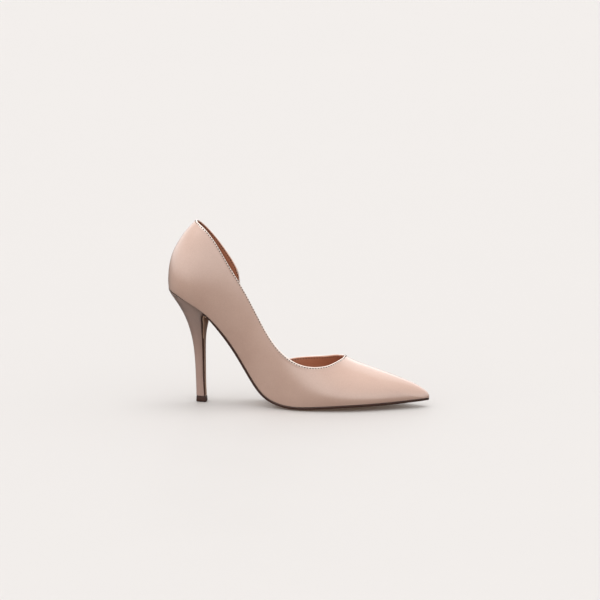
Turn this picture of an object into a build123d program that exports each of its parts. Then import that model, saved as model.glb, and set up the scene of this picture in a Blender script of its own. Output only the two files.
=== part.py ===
from build123d import *
import math
import os

import numpy as np

# High heel pump, right shoe, half d'Orsay: the outer side is closed from toe to heel and the
# inner side is cut away at the arch. All sizes in millimetres.
# Frame: x from the heel tip to the toe, y to the inner side of the foot, z up from the floor.

# ---- overall -------------------------------------------------------------------------------
BACK_POLE_X = -31.5       # rearmost point of the heel cup
BACK_POLE_Z = 112.0
TOE_POLE_X = 209.8        # foremost point of the toe
TOE_POLE_Y = 4.2
TOE_POLE_Z = 10.4
SEAT_CENTRE_X = -5.0      # centre of the round heel seat
SEAT_LENGTH = 25.7        # from the seat centre back to the seat edge
TOE_ROUND_X = 200.0       # where the pointed toe starts to round off
BOTTOM_CROWN = 0.00105    # the bottom is a shallow trough: z rises by this times y squared

# ---- layers, measured inwards from the outside of the leather ------------------------------
UPPER_IN = 1.1
BACKER_OUT, BACKER_IN = 1.2, 2.0
LINING_OUT, LINING_IN = 2.1, 2.9
BOARD_LOW, BOARD_HIGH = 3.0, 4.8
CUSHION_LOW, CUSHION_HIGH = 4.9, 6.4
SOCK_LOW, SOCK_HIGH = 6.5, 7.2
BOARD_INSET = 3.4         # the insole board stands in from the outside all round
LASTING_MARGIN = 11.0     # how far the upper turns under the board
WINDOW_FRONT_X = 182.0    # the turned-under edges meet ahead of this
BOARD_FRONT_X = 199.0
SOCK_FRONT_X = 189.0
OUTSOLE_THICK = 2.2
OUTSOLE_INSET = 0.25
CLEAR = 0.1               # space left between two glued pieces
SEAT_GAP = 0.15           # and between the heel and the upper

# ---- where the pieces of the upper end -----------------------------------------------------
TOPLINE_PEAK_X = -4.7
TOPLINE_PEAK_Z = 169.2
THROAT_X = 131.9
SIDE_CUT_X = 104.0        # behind this the topline is given in side view, ahead of it in plan
QUARTER_FRONT_X = 40.0    # foot of the inner quarter's front edge
WING_REAR_X = 60.0        # foot of the inner vamp wing's rear edge
COUNTER_FRONT_X = 22.0
PUFF_REAR_X = 168.0
LINING_SPLIT_X = 72.0
SEAM_GAP = 0.15

# ---- heel ----------------------------------------------------------------------------------
COVER_THICK = 0.8
FLAP_THICK = 1.6          # the sole where it covers the heel breast
FLAP_FILLET = [(3.4, 69.0), (3.9, 73.0), (4.6, 77.0), (6.2, 79.8), (9.5, 80.2)]
BREAST_X = 2.0            # front of the heel at the seat
TIP_HEIGHT = 5.5
TUBE_RADIUS, TUBE_BORE = 2.3, 1.55
TUBE_TOP = 66.0
PIN_RADIUS = 1.5
PIN_FLANGE_RADIUS = 3.0
PIN_FLANGE_THICK = 0.8
PIN_FLANGE_Z = 2.4
PIN_TOP = 24.0
HEEL_AXIS_X = -1.4        # middle of the thin part of the heel
SCREW_X = -9.0
SCREW_RADIUS = 2.0
SCREW_HEAD_RADIUS = 4.0
SCREW_LENGTH = 24.0
NAIL_RADIUS = 0.9
NAIL_HEAD_RADIUS = 2.0
NAIL_LENGTH = 13.0
NAIL_PLACES = [(-14.5, -6.8), (-14.5, 6.8), (-1.0, -8.0), (-1.0, 8.0)]
HEAD_SINK = 2.7           # fastener heads lie flat, so they are sunk into the sloping seat
SHANK_REAR_X, SHANK_FRONT_X = -18.0, 84.0
SHANK_HALF_WIDTH = 5.5
SHANK_LOW, SHANK_HIGH = 1.45, 2.75
RIVET_RADIUS = 1.6
RIVET_PLACES = [28.0, 66.0]


def curve(points):
    """Natural cubic spline y(x) through a few points."""
    x = np.array([p[0] for p in points], float)
    y = np.array([p[1] for p in points], float)
    n = len(x)
    h = np.diff(x)
    a = np.zeros((n, n))
    r = np.zeros(n)
    a[0, 0] = a[-1, -1] = 1.0
    for i in range(1, n - 1):
        a[i, i - 1] = h[i - 1]
        a[i, i] = 2 * (h[i - 1] + h[i])
        a[i, i + 1] = h[i]
        r[i] = 6 * ((y[i + 1] - y[i]) / h[i] - (y[i] - y[i - 1]) / h[i - 1])
    m = np.linalg.solve(a, r)

    def f(t):
        i = int(min(max(np.searchsorted(x, t) - 1, 0), n - 2))
        if t <= x[0] or t >= x[-1]:
            k = 0 if t <= x[0] else n - 1
            other = 1 if t <= x[0] else n - 2
            slope = (y[k] - y[other]) / (x[k] - x[other])
            sign = -1.0 if k == 0 else 1.0
            slope += sign * abs(x[k] - x[other]) * (2 * m[k] + m[other]) / 6
            return float(y[k] + slope * (t - x[k]))
        p = (x[i + 1] - t) / h[i]
        q = (t - x[i]) / h[i]
        bend = ((p**3 - p) * m[i] + (q**3 - q) * m[i + 1]) * h[i] ** 2 / 6
        return float(p * y[i] + q * y[i + 1] + bend)

    return f


# ---- shape of the last ---------------------------------------------------------------------
bottom_line = curve([(-31, 105.4), (-24, 102.9), (-17, 99.4), (-8.5, 94.4), (2, 87.8), (11, 80.3),
                     (20, 70.3), (30, 57.0), (40, 41.0), (50, 24.4), (56, 16.0), (62, 10.2),
                     (70, 5.9), (82, 2.88), (100, 2.36), (132, 4.4), (167, 6.3), (209, 8.8)])
back_line = curve([(-29.7, 129.9), (-27.8, 136.3), (-24.0, 144.9), (-20.3, 151.1), (-16.6, 156.6),
                   (-12.8, 161.2), (-9.0, 165.3), (-4.7, 169.2), (4, 175.5), (16, 178.5),
                   (32, 172), (58, 143), (86, 100), (112, 65), (131.5, 46.3), (139, 42.2),
                   (150, 38.3), (161, 34.8), (172, 31.3), (183, 27.6), (194, 23.3), (200, 20.4),
                   (205, 17.0)])
centre_line = curve([(-31, 0), (60, 0), (110, 0), (150, 1.2), (180, 2.8), (209.8, 4.2)])
outer_width = curve([(-5, 24.5), (10, 23.6), (26, 21.4), (45, 20.4), (60, 23.4), (75, 29.0),
                     (90, 34.2), (100, 36.0), (112, 36.4), (131, 35.2), (150, 31.2), (170, 23.8),
                     (190, 13.8), (200, 8.6), (210, 4.4)])
inner_width = curve([(-5, 24.1), (10, 22.6), (26, 19.6), (45, 17.6), (60, 20.4), (75, 27.2),
                     (90, 33.8), (100, 36.2), (112, 37.2), (131, 36.0), (150, 31.8), (170, 23.8),
                     (190, 13.6), (200, 8.4), (210, 4.4)])
bulge = curve([(-31, 4.6), (-5, 4.6), (20, 5.0), (45, 5.0), (75, 4.6), (105, 4.2), (140, 3.0),
               (180, 1.6), (209, 1.0)])
shoulder = curve([(-31, 0.76), (-5, 0.72), (20, 0.74), (60, 0.74), (100, 0.58), (131, 0.56),
                  (170, 0.56), (209, 0.6)])
wall_rise = curve([(-31, 0.40), (-5, 0.38), (20, 0.42), (60, 0.52), (100, 0.50), (131, 0.46),
                   (209, 0.50)])

# ---- topline -------------------------------------------------------------------------------
outer_topline = curve([(-4.7, 169.2), (4.8, 163.2), (17.2, 148.4), (27.1, 132.2), (40.5, 110.4),
                       (52.3, 89.4), (64.5, 68.6), (76.3, 54.6), (89.4, 45.6), (99.2, 42.0),
                       (108.5, 40.6)])
inner_quarter_topline = curve([(-4.7, 169.2), (3.4, 159.6), (14.0, 146.4), (23.0, 133.8)])
INNER_QUARTER_FRONT = [(29.2, 123.2), (31.0, 118.6), (31.9, 112.6), (33.1, 103.0), (34.6, 84.0),
                       (37.0, 58.0)]
inner_vamp_topline = curve([(64.0, 28.6), (68.0, 33.2), (74.4, 36.6), (84.0, 38.2), (95.0, 39.1),
                            (108.0, 40.2)])
THROAT_OUTER = [(131.4, -5.5), (129.3, -12.6), (125.0, -20.2), (119.0, -26.4), (114.0, -29.3),
                (109.0, -31.3)]
THROAT_INNER = [(131.4, 6.5), (129.3, 13.4), (125.0, 20.3), (119.0, 26.3), (114.0, 29.8),
                (109.0, 32.0)]


def slope(f, x):
    """Rise of a curve per millimetre at x."""
    return (f(x + 0.05) - f(x - 0.05)) / 0.1


def rounded_end(x, start, end, power):
    """One along the body, falling to nought at a rounded end."""
    part = (x - start) / (end - start)
    if part <= 0:
        return 1.0
    return math.sqrt(max(0.0, 1.0 - min(part, 1.0) ** power))


def bottom_height(x, inset):
    """Centre line of the bottom, moved up square to itself by the inset."""
    return bottom_line(x) + inset * math.hypot(1.0, slope(bottom_line, x))


def top_height(x, inset):
    """Back line, instep and vamp ridge, moved in by the inset."""
    back_end = BACK_POLE_X + inset
    toe_end = TOE_POLE_X - inset
    if x < -28.5:
        part = (x - back_end) / (-28.5 - back_end)
        low = BACK_POLE_Z
        high = back_line(-28.5) - inset * math.hypot(1.0, slope(back_line, -28.5)) * 0.5
        return low + (high - low) * math.sqrt(max(part, 0.0))
    if x > 203.0:
        part = (toe_end - x) / (toe_end - 203.0)
        high = back_line(203.0) - inset * math.hypot(1.0, slope(back_line, 203.0))
        return TOE_POLE_Z + (high - TOE_POLE_Z) * max(part, 0.0) ** 0.55
    steep = min(math.hypot(1.0, slope(back_line, x)), 2.2)
    return back_line(x) - inset * steep


def feather_width(x, side, inset):
    """Half width of the bottom on one side, side being -1 outer or +1 inner."""
    width = outer_width if side < 0 else inner_width
    if x < SEAT_CENTRE_X:
        value = width(SEAT_CENTRE_X) - inset
        seat = rounded_end(-x, -SEAT_CENTRE_X, -SEAT_CENTRE_X + SEAT_LENGTH - inset, 2.0)
        cup = rounded_end(-x, -SEAT_CENTRE_X, -BACK_POLE_X - inset, 2.0)
        return value * max(seat, 0.45 * cup)
    grow = math.hypot(1.0, slope(width, x))
    value = width(x) - inset * grow
    return max(value, 0.0) * rounded_end(x, TOE_ROUND_X - inset, TOE_POLE_X - inset, 2.2)


def wall(x, side, inset):
    """Four control points of the wall from the bottom edge to the ridge on one side."""
    middle = centre_line(x)
    foot = feather_width(x, side, inset)
    low = bottom_height(x, inset) + BOTTOM_CROWN * foot**2
    high = top_height(x, inset)
    body = rounded_end(-x, -SEAT_CENTRE_X, -BACK_POLE_X - inset, 2.0)
    body *= rounded_end(x, TOE_ROUND_X - inset, TOE_POLE_X - inset, 2.2)
    if x < SEAT_CENTRE_X:
        low += (BACK_POLE_Z - low) * max(0.0, 1.0 - math.sqrt(max(0.0, x - BACK_POLE_X - inset)))
        width = outer_width if side < 0 else inner_width
        full = (width(SEAT_CENTRE_X) - inset + 0.8) * body
    else:
        full = foot + 0.8 * body
    rise = high - low
    out = foot + bulge(x) * body
    return [(x, middle + side * foot, low),
            (x, middle + side * out, low + wall_rise(x) * rise),
            (x, middle + side * shoulder(x) * full, high),
            (x, middle, high)]


def wall_point(x, side, inset, t):
    """A point on the wall, t from 0 at the bottom edge to 1 at the ridge."""
    p = np.array(wall(x, side, inset))
    return (1 - t) ** 3 * p[0] + 3 * t * (1 - t) ** 2 * p[1] + 3 * t**2 * (1 - t) * p[2] + t**3 * p[3]


def wall_at(x, side, want, axis):
    """The outer wall's point at station x where its height (2) or half width (1) is wanted."""
    low, high = 0.0, 1.0
    for _ in range(40):
        t = (low + high) / 2
        p = wall_point(x, side, 0.0, t)
        reached = p[2] >= want if axis == 2 else (p[1] - centre_line(x)) * side <= want
        if axis == 1 and t < 0.25:
            reached = False
        if reached:
            high = t
        else:
            low = t
    return wall_point(x, side, 0.0, low)


MIDDLE_STATIONS = (-8, -2, 4, 10, 16, 22, 28, 34, 40, 46, 52, 57, 62, 67, 73, 80, 90, 101, 115, 131,
                   146, 161, 175, 187)


def stations(inset):
    """Places along the shoe where a section is drawn, close together at both rounded ends."""
    back = BACK_POLE_X + inset
    toe = TOE_POLE_X - inset
    places = [back + d for d in (0.06, 0.5, 1.4, 3.2, 6.4, 11.0, 17.0)]
    places += MIDDLE_STATIONS
    places += [toe - d for d in (14.0, 9.0, 5.4, 3.0, 1.2, 0.06)]
    return places


def body(inset):
    """The closed last shape, moved in by the inset, as one loft from heel cup to toe."""
    sections = []
    for x in stations(inset):
        outer = wall(x, -1, inset)
        inner = wall(x, 1, inset)
        low = (x, centre_line(x), 2 * bottom_height(x, inset) - (outer[0][2] + inner[0][2]) / 2)
        if x < -28.0 + inset:
            low = (x, 0, (outer[0][2] + inner[0][2]) / 2 - 0.05)
        edges = [Edge.make_bezier(*outer),
                 Edge.make_bezier(*inner[::-1]),
                 Edge.make_bezier(inner[0], low, outer[0])]
        sections.append(Wire(edges))
    return Solid.make_loft(sections)


# ---- cutters and slabs ---------------------------------------------------------------------
def prism_side(wire, y_low, y_high):
    """A side-view outline drawn in the x-z plane, made solid between two y values."""
    face = Face(wire)
    solid = Solid.extrude(face, Vector(0, y_high - y_low, 0))
    return solid.moved(Location((0, y_low, 0)))


def prism_plan(wire, z_low, z_high):
    """A plan outline made solid between two heights."""
    return Solid.extrude(Face(wire), Vector(0, 0, z_high - z_low)).moved(Location((0, 0, z_low)))


def box(x0, x1, y0, y1, z0, z1):
    """A box between two corners."""
    return Solid.make_box(x1 - x0, y1 - y0, z1 - z0).moved(Location((x0, y0, z0)))


def throat_points(side):
    """Plan points of the rounded throat on one side, from the ridge back to the side cut."""
    start = outer_topline(SIDE_CUT_X) if side < 0 else inner_vamp_topline(SIDE_CUT_X)
    end = wall_at(SIDE_CUT_X, side, start, 2)
    shape = THROAT_OUTER if side < 0 else THROAT_INNER
    return [(THROAT_X, 0.5, 0)] + [(x, y, 0) for x, y in shape] + [(SIDE_CUT_X, end[1], 0)]


def throat_cutter():
    """Vertical prism that opens the top of the foot from the throat back to the side cut."""
    outer = throat_points(-1)
    inner = throat_points(1)
    front = Edge.make_spline(inner[::-1] + outer[1:])
    back = Edge.make_line(outer[-1], inner[-1])
    return prism_plan(Wire([front, back]), 20, 230)


def outer_opening():
    """Everything above the outer side's topline, behind the throat."""
    points = [(x, 0, outer_topline(x)) for x in (-4.7, 4.8, 17.2, 27.1, 40.5, 52.3, 64.5, 76.3, 89.4)]
    points.append((SIDE_CUT_X, 0, outer_topline(SIDE_CUT_X)))
    edges = [Edge.make_spline(points)]
    corners = [points[-1], (SIDE_CUT_X, 0, 230), (-40, 0, 230), (-40, 0, 190), points[0]]
    edges += [Edge.make_line(a, b) for a, b in zip(corners, corners[1:])]
    return prism_side(Wire(edges), -80, 0)


def inner_opening():
    """Everything above the inner quarter's topline, in the arch gap and above the vamp wing."""
    quarter = [(x, 0, inner_quarter_topline(x)) for x in (-4.7, 3.4, 14.0, 23.0)]
    front = [(x, 0, z) for x, z in INNER_QUARTER_FRONT]
    foot = (QUARTER_FRONT_X, 0, -20)
    wing = [(WING_REAR_X - 1.0, 0, 6.0), (WING_REAR_X + 0.6, 0, 18.0)]
    top = [(x, 0, inner_vamp_topline(x)) for x in (64.2, 68.0, 74.4, 84.0, 95.0, SIDE_CUT_X)]
    edges = [Edge.make_spline(quarter + front),
             Edge.make_line(front[-1], foot),
             Edge.make_line(foot, (WING_REAR_X - 1.0, 0, -20)),
             Edge.make_line((WING_REAR_X - 1.0, 0, -20), wing[0]),
             Edge.make_spline(wing + top)]
    corners = [top[-1], (SIDE_CUT_X, 0, 230), (-40, 0, 230), (-40, 0, 190), quarter[0]]
    edges += [Edge.make_line(a, b) for a, b in zip(corners, corners[1:])]
    return prism_side(Wire(edges), 0, 80)


def opening():
    """The whole foot opening as three cutters."""
    return [throat_cutter(), outer_opening(), inner_opening()]


PLAN_STATIONS = (-24, -17, -10, -2, 8, 18, 28, 38, 48, 56, 64, 74, 86, 100, 115, 131, 146, 161,
                 174, 186, 195, 201)


def plan_outline(inset, x_start, x_end):
    """Closed plan outline of the bottom between two stations, moved in by the inset."""
    back = BACK_POLE_X + 0.8 + inset
    toe = TOE_POLE_X - inset
    first = max(x_start, back)
    last = min(x_end, toe)
    round_back = x_start <= back
    round_toe = x_end >= toe
    rear = first + 5.0 if round_back else first + 2.0
    front = last - 4.5 if round_toe else last - 2.0
    places = [x for x in PLAN_STATIONS if rear < x < front]
    if round_back:
        places = [back + 0.7, back + 2.6] + places
    if round_toe:
        places = places + [toe - 3.0, toe - 0.8]
    if not round_back:
        places = [first] + places
    if not round_toe:
        places = places + [last]
    outer = [(x, centre_line(x) - feather_width(x, -1, inset), 0) for x in places]
    inner = [(x, centre_line(x) + feather_width(x, 1, inset), 0) for x in places]
    if round_back and round_toe:
        ring = [(back, 0, 0)] + outer + [(toe, TOE_POLE_Y, 0)] + inner[::-1]
        return Wire([Edge.make_spline(ring, periodic=True)])
    if round_toe:
        edge = Edge.make_spline(outer + [(toe, TOE_POLE_Y, 0)] + inner[::-1])
        return Wire([edge, Edge.make_line(inner[0], outer[0])])
    if round_back:
        edge = Edge.make_spline(outer[::-1] + [(back, 0, 0)] + inner)
        return Wire([edge, Edge.make_line(inner[-1], outer[-1])])
    return Wire([Edge.make_spline(outer),
                 Edge.make_line(outer[-1], inner[-1]),
                 Edge.make_spline(inner[::-1]),
                 Edge.make_line(inner[0], outer[0])])


def sheet(low, high, x_start=-34.0, x_end=213.0, half=44.0):
    """A slab that follows the bottom, between two distances above it."""
    places = [x for x in (-25, -17) + MIDDLE_STATIONS + (200,) if x_start < x < x_end]
    sections = []
    for x in [x_start] + places + [x_end]:
        corners = []
        for level in (low, high):
            middle = bottom_height(x, level)
            edge_z = middle + BOTTOM_CROWN * half**2
            dip = middle - BOTTOM_CROWN * half**2
            corners.append([(x, -half, edge_z), (x, 0, dip), (x, half, edge_z)])
        under, over = corners
        sections.append(Wire([Edge.make_bezier(*under),
                              Edge.make_line(under[-1], over[-1]),
                              Edge.make_bezier(*over[::-1]),
                              Edge.make_line(over[0], under[0])]))
    return Solid.make_loft(sections)


def margin_window():
    """The opening in the bottom left inside the turned-under edge of the upper."""
    return prism_plan(plan_outline(LASTING_MARGIN, -34, WINDOW_FRONT_X), -20, 130)


def keep(shape, *cutters):
    """A shape less each of the cutters in turn."""
    for cutter in cutters:
        shape = shape - cutter
    return shape


def biggest(shape):
    """The largest solid of a cut shape, without the slivers and facing outwards."""
    solid = sorted(shape.solids(), key=lambda one: abs(one.volume))[-1]
    return solid if solid.volume > 0 else Solid(solid.wrapped.Reversed())


# ---- upper ---------------------------------------------------------------------------------
def layer(outside, inside):
    """One layer of the upper over the whole last, open at the top and under the foot."""
    shell = body(outside) - body(inside)
    shell = keep(shell, *opening())
    return shell - (margin_window() & sheet(-6, 6))


def inner_rear():
    """Space that holds the inner quarter: the inner side, behind the arch gap."""
    return box(-60, 50, SEAM_GAP / 2, 80, -20, 230)


def outer_rear():
    """The same space widened by the seam, for what is left outside it."""
    return box(-60, 50, -SEAM_GAP / 2, 80, -20, 230)


def upper_pieces():
    """The vamp with the outer quarter in one piece, and the separate inner quarter."""
    shell = layer(0.0, UPPER_IN)
    vamp = biggest(shell - outer_rear())
    quarter = biggest(shell & inner_rear())
    return vamp, quarter


def backer_pieces():
    """Toe puff, vamp backer and heel counter between the upper and its lining."""
    shell = layer(BACKER_OUT, BACKER_IN)
    below_edge = [outer_opening().moved(Location((0, 0, -6.0))),
                  inner_opening().moved(Location((0, 0, -6.0))),
                  throat_cutter().moved(Location((5.0, 0, 0)))]
    shell = keep(shell, *below_edge)
    puff = biggest(shell & box(PUFF_REAR_X, 230, -80, 80, -20, 80))
    counter = biggest(shell & box(-60, COUNTER_FRONT_X, -80, 80, 40, 230))
    middle = shell & box(COUNTER_FRONT_X + CLEAR, PUFF_REAR_X - CLEAR, -80, 80, -20, 230)
    middle = middle - box(COUNTER_FRONT_X - 5, WING_REAR_X - 8, 0, 80, -20, 230)
    return puff, biggest(middle), counter


def lining_pieces():
    """Vamp lining in front and the quarter lining round the heel."""
    shell = layer(LINING_OUT, LINING_IN)
    front = biggest(shell & box(LINING_SPLIT_X + CLEAR, 230, -80, 80, -20, 230))
    rear = biggest(shell & box(-60, LINING_SPLIT_X, -80, 80, -20, 230))
    return front, rear


def arch_wrap():
    """Folded leather strip round the edge of the insole in the arch gap."""
    start, end = QUARTER_FRONT_X - 1.2, WING_REAR_X - 1.6
    outline = prism_plan(plan_outline(0.0, start, end), -20, 130)
    inside = prism_plan(plan_outline(BOARD_INSET - CLEAR, start - 3, end + 3), -20, 130)
    strip = sheet(0.0, SOCK_HIGH) & outline & box(0, 100, 5, 80, -20, 130)
    strip = strip - (sheet(BOARD_LOW - CLEAR, 30.0) & inside)
    return biggest(strip - margin_window())


# ---- bottom --------------------------------------------------------------------------------
def cut_sheet(low, high, inset, x_start=-34.0, x_end=213.0):
    """A slab between two levels above the bottom, trimmed to the plan outline."""
    return sheet(low, high) & prism_plan(plan_outline(inset, x_start, x_end), -20, 130)


def screw_hole(grow, rise=0.0):
    """Space of the heel screw, a little larger than the screw when asked."""
    seat = bottom_height(SCREW_X, BOARD_HIGH) - HEAD_SINK
    shank = Solid.make_cylinder(SCREW_RADIUS + grow, SCREW_LENGTH)
    shank = shank.moved(Location((SCREW_X, 0, seat - SCREW_LENGTH)))
    head = Solid.make_cylinder(SCREW_HEAD_RADIUS + grow, 1.6 + rise)
    return shank + head.moved(Location((SCREW_X, 0, seat - 1.6 - CLEAR)))


def nail_hole(place, grow, rise=0.0):
    """Space of one heel nail."""
    x, y = place
    seat = bottom_height(x, BOARD_HIGH) - HEAD_SINK / 2
    shank = Solid.make_cylinder(NAIL_RADIUS + grow, NAIL_LENGTH)
    shank = shank.moved(Location((x, y, seat - NAIL_LENGTH)))
    head = Solid.make_cylinder(NAIL_HEAD_RADIUS + grow, 1.0 + rise)
    return shank + head.moved(Location((x, y, seat - 1.0 - CLEAR)))


def fastener_holes(grow=0.05):
    """Space of the heel screw and all the heel nails."""
    return [screw_hole(grow, 5.0)] + [nail_hole(place, grow, 4.0) for place in NAIL_PLACES]


def rivet(x, grow):
    """One tubular rivet that holds the shank to the insole board."""
    low = bottom_height(x, SHANK_LOW) - 0.4
    high = bottom_height(x, BOARD_HIGH) - RIVET_RADIUS * abs(slope(bottom_line, x)) - CLEAR
    body_part = Solid.make_cylinder(RIVET_RADIUS + grow, high - low)
    return body_part.moved(Location((x, 0, low)))


def insole_board():
    """Stiff insole board with holes for the rivets, the screw and the nails."""
    board = cut_sheet(BOARD_LOW, BOARD_HIGH, BOARD_INSET, -34, BOARD_FRONT_X)
    return biggest(keep(board, *fastener_holes(), *[rivet(x, 0.05) for x in RIVET_PLACES]))


def shank_blank(low, high, grow):
    """The shank strip between two levels, rounded at both ends in plan."""
    half = SHANK_HALF_WIDTH + grow
    start, end = SHANK_REAR_X - grow, SHANK_FRONT_X + grow
    wire = Wire([Edge.make_line((start + half, -half, 0), (end - half, -half, 0)),
                 Edge.make_three_point_arc((end - half, -half, 0), (end, 0, 0), (end - half, half, 0)),
                 Edge.make_line((end - half, half, 0), (start + half, half, 0)),
                 Edge.make_three_point_arc((start + half, half, 0), (start, 0, 0),
                                           (start + half, -half, 0))])
    return sheet(low, high) & prism_plan(wire, -20, 130)


def steel_shank():
    """Sprung steel strip under the arch, holed for the rivets and the heel screw."""
    return biggest(keep(shank_blank(SHANK_LOW, SHANK_HIGH, 0.0), *fastener_holes(),
                        *[rivet(x, 0.05) for x in RIVET_PLACES]))


def bottom_filler():
    """Felt that fills the hollow between the turned-under edges, round the shank."""
    filler = cut_sheet(CLEAR, BOARD_LOW - CLEAR, LASTING_MARGIN + 0.3, -34, WINDOW_FRONT_X - 0.5)
    filler = filler - shank_blank(SHANK_LOW - 0.6, BOARD_LOW + 1.0, 0.1)
    return biggest(keep(filler, *fastener_holes(), *[rivet(x, 0.05) for x in RIVET_PLACES]))


def outsole():
    """Thin leather sole from the toe back to the heel, turned down over the heel breast."""
    sole = sheet(-OUTSOLE_THICK, -CLEAR) & prism_plan(
        plan_outline(OUTSOLE_INSET, BREAST_X + 0.6, 213), -20, 130)
    back = [(heel_front(z) + 0.1, 0, z) for z in (TIP_HEIGHT, 22, 42, 60, 72, 80)]
    front = [(heel_front(z) + FLAP_THICK, 0, z) for z in (TIP_HEIGHT, 22, 42, 60)]
    turn = [(x, 0, z) for x, z in FLAP_FILLET]
    top_z = bottom_line(BREAST_X + 1.0) - 1.0
    profile = Wire([Edge.make_spline(back + [(BREAST_X + 0.5, 0, top_z)]),
                    Edge.make_line((BREAST_X + 0.5, 0, top_z), turn[-1]),
                    Edge.make_spline((front + turn)[::-1]),
                    Edge.make_line(front[0], back[0])])
    flap = prism_side(profile, -30, 30)
    side = [(0, flap_half(z), z) for z in (TIP_HEIGHT, 30, 50, 62, 72, 79, 84, 90)]
    left = [(0, -y, z) for _, y, z in side]
    front_face = Face(Wire([Edge.make_spline(side), Edge.make_line(side[-1], left[-1]),
                            Edge.make_spline(left[::-1]), Edge.make_line(left[0], side[0])]))
    width = Solid.extrude(front_face, Vector(40, 0, 0)).moved(Location((-10, 0, 0)))
    return biggest(sole + (flap & width))


def sock_pieces():
    """Forepart cushion, heel pad and the leather sock on top of them."""
    cushion = biggest(cut_sheet(CUSHION_LOW, CUSHION_HIGH, BOARD_INSET + 0.2, 62.0, 186.0))
    pad = biggest(cut_sheet(CUSHION_LOW, CUSHION_HIGH, BOARD_INSET + 0.2, -34.0, 18.0))
    sock = biggest(cut_sheet(SOCK_LOW, SOCK_HIGH, BOARD_INSET + 0.4, -34, SOCK_FRONT_X))
    return cushion, pad, sock


# ---- heel ----------------------------------------------------------------------------------
heel_back = curve([(5, -5.4), (20, -5.8), (40, -6.8), (55, -8.5), (66, -10.9), (75, -13.7), (83, -17.1),
                   (90, -21.1), (96, -25.1), (101, -28.6), (106, -31.2)])
heel_front = curve([(5, 2.4), (20, 1.5), (40, 1.1), (60, 1.0), (72, 1.2), (82, 1.8), (106, 2.6)])
heel_half = curve([(5, 4.5), (20, 4.7), (40, 5.4), (55, 6.9), (66, 9.8), (75, 13.6), (83, 17.7),
                   (90, 21.0), (96, 23.2), (101, 24.2), (106, 24.4)])
flap_half = curve([(5, 4.1), (30, 4.6), (50, 5.6), (62, 8.0), (72, 12.0), (79, 15.8), (84, 18.6),
                   (90, 21.4)])
HEEL_LEVELS = (14, 24, 36, 48, 57, 65, 72, 79, 86, 93, 100, 107)


def heel_section(z, inset, front_extra):
    """D-shaped heel section at one height, moved in by the inset."""
    back = heel_back(z) + inset
    front = heel_front(z)
    half = heel_half(z) - inset
    fullness = 0.80 + 0.10 * min(1.0, max(0.0, (z - 60) / 35))
    length = front - back
    outer = [(front, half * 0.94, z), (front - 0.42 * length, half * 1.08, z),
             (back, half * fullness, z), (back, 0, z)]
    inner = [(x, -y, level) for x, y, level in outer[::-1]]
    edges = [Edge.make_bezier(*outer), Edge.make_bezier(*inner)]
    if front_extra == 0:
        return Wire(edges + [Edge.make_line(inner[-1], outer[0])])
    corners = [inner[-1], (front + front_extra, -half, z), (front + front_extra, half, z), outer[0]]
    return Wire(edges + [Edge.make_line(a, b) for a, b in zip(corners, corners[1:])])


def heel_block(inset, front_extra, bottom):
    """The heel as one loft, cut off along the seat."""
    block = Solid.make_loft([heel_section(z, inset, front_extra) for z in (bottom,) + HEEL_LEVELS])
    return block - sheet(-SEAT_GAP, 60, -34, 40, 60)


def heel_pieces():
    """Moulded heel core and the leather that is wrapped round it."""
    core = heel_block(COVER_THICK + CLEAR, 0.0, TIP_HEIGHT + 0.05)
    around = heel_block(0.0, 0.0, TIP_HEIGHT + 0.05) - heel_block(COVER_THICK, 3.0, TIP_HEIGHT - 1.0)
    tube_hole = Solid.make_cylinder(TUBE_RADIUS + 0.03, TUBE_TOP - TIP_HEIGHT + 2.0)
    core = keep(core, tube_hole.moved(Location((HEEL_AXIS_X, 0, TIP_HEIGHT - 2.0))), *fastener_holes())
    return biggest(core), biggest(around)


def heel_tube():
    """Spring steel tube up the inside of the thin heel."""
    height = TUBE_TOP - TIP_HEIGHT - 0.3
    tube = Solid.make_cylinder(TUBE_RADIUS, height) - Solid.make_cylinder(TUBE_BORE, height)
    return tube.moved(Location((HEEL_AXIS_X, 0, TIP_HEIGHT + 0.2)))


def tip_pin(grow):
    """Steel pin with a flange that the heel tip is moulded on."""
    pin = Solid.make_cylinder(PIN_RADIUS + grow, PIN_TOP - PIN_FLANGE_Z)
    flange = Solid.make_cylinder(PIN_FLANGE_RADIUS + grow, PIN_FLANGE_THICK + grow)
    return (pin + flange).moved(Location((HEEL_AXIS_X, 0, PIN_FLANGE_Z - grow)))


def heel_tip():
    """Hard-wearing top piece under the heel, slightly wider at the floor in front."""
    def ring(z, grow):
        back, front, half = -5.4 - grow, 3.6 + grow * 1.6, 4.3 + grow
        outer = [(front, half * 0.94, z), (front - 3.6, half * 1.08, z), (back, half * 0.84, z), (back, 0, z)]
        inner = [(x, -y, level) for x, y, level in outer[::-1]]
        return Wire([Edge.make_bezier(*outer), Edge.make_bezier(*inner),
                     Edge.make_line(inner[-1], outer[0])])
    block = Solid.make_loft([ring(0, 0.25), ring(TIP_HEIGHT - CLEAR, 0.0)], True)
    return biggest(block - tip_pin(0.03))


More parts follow.
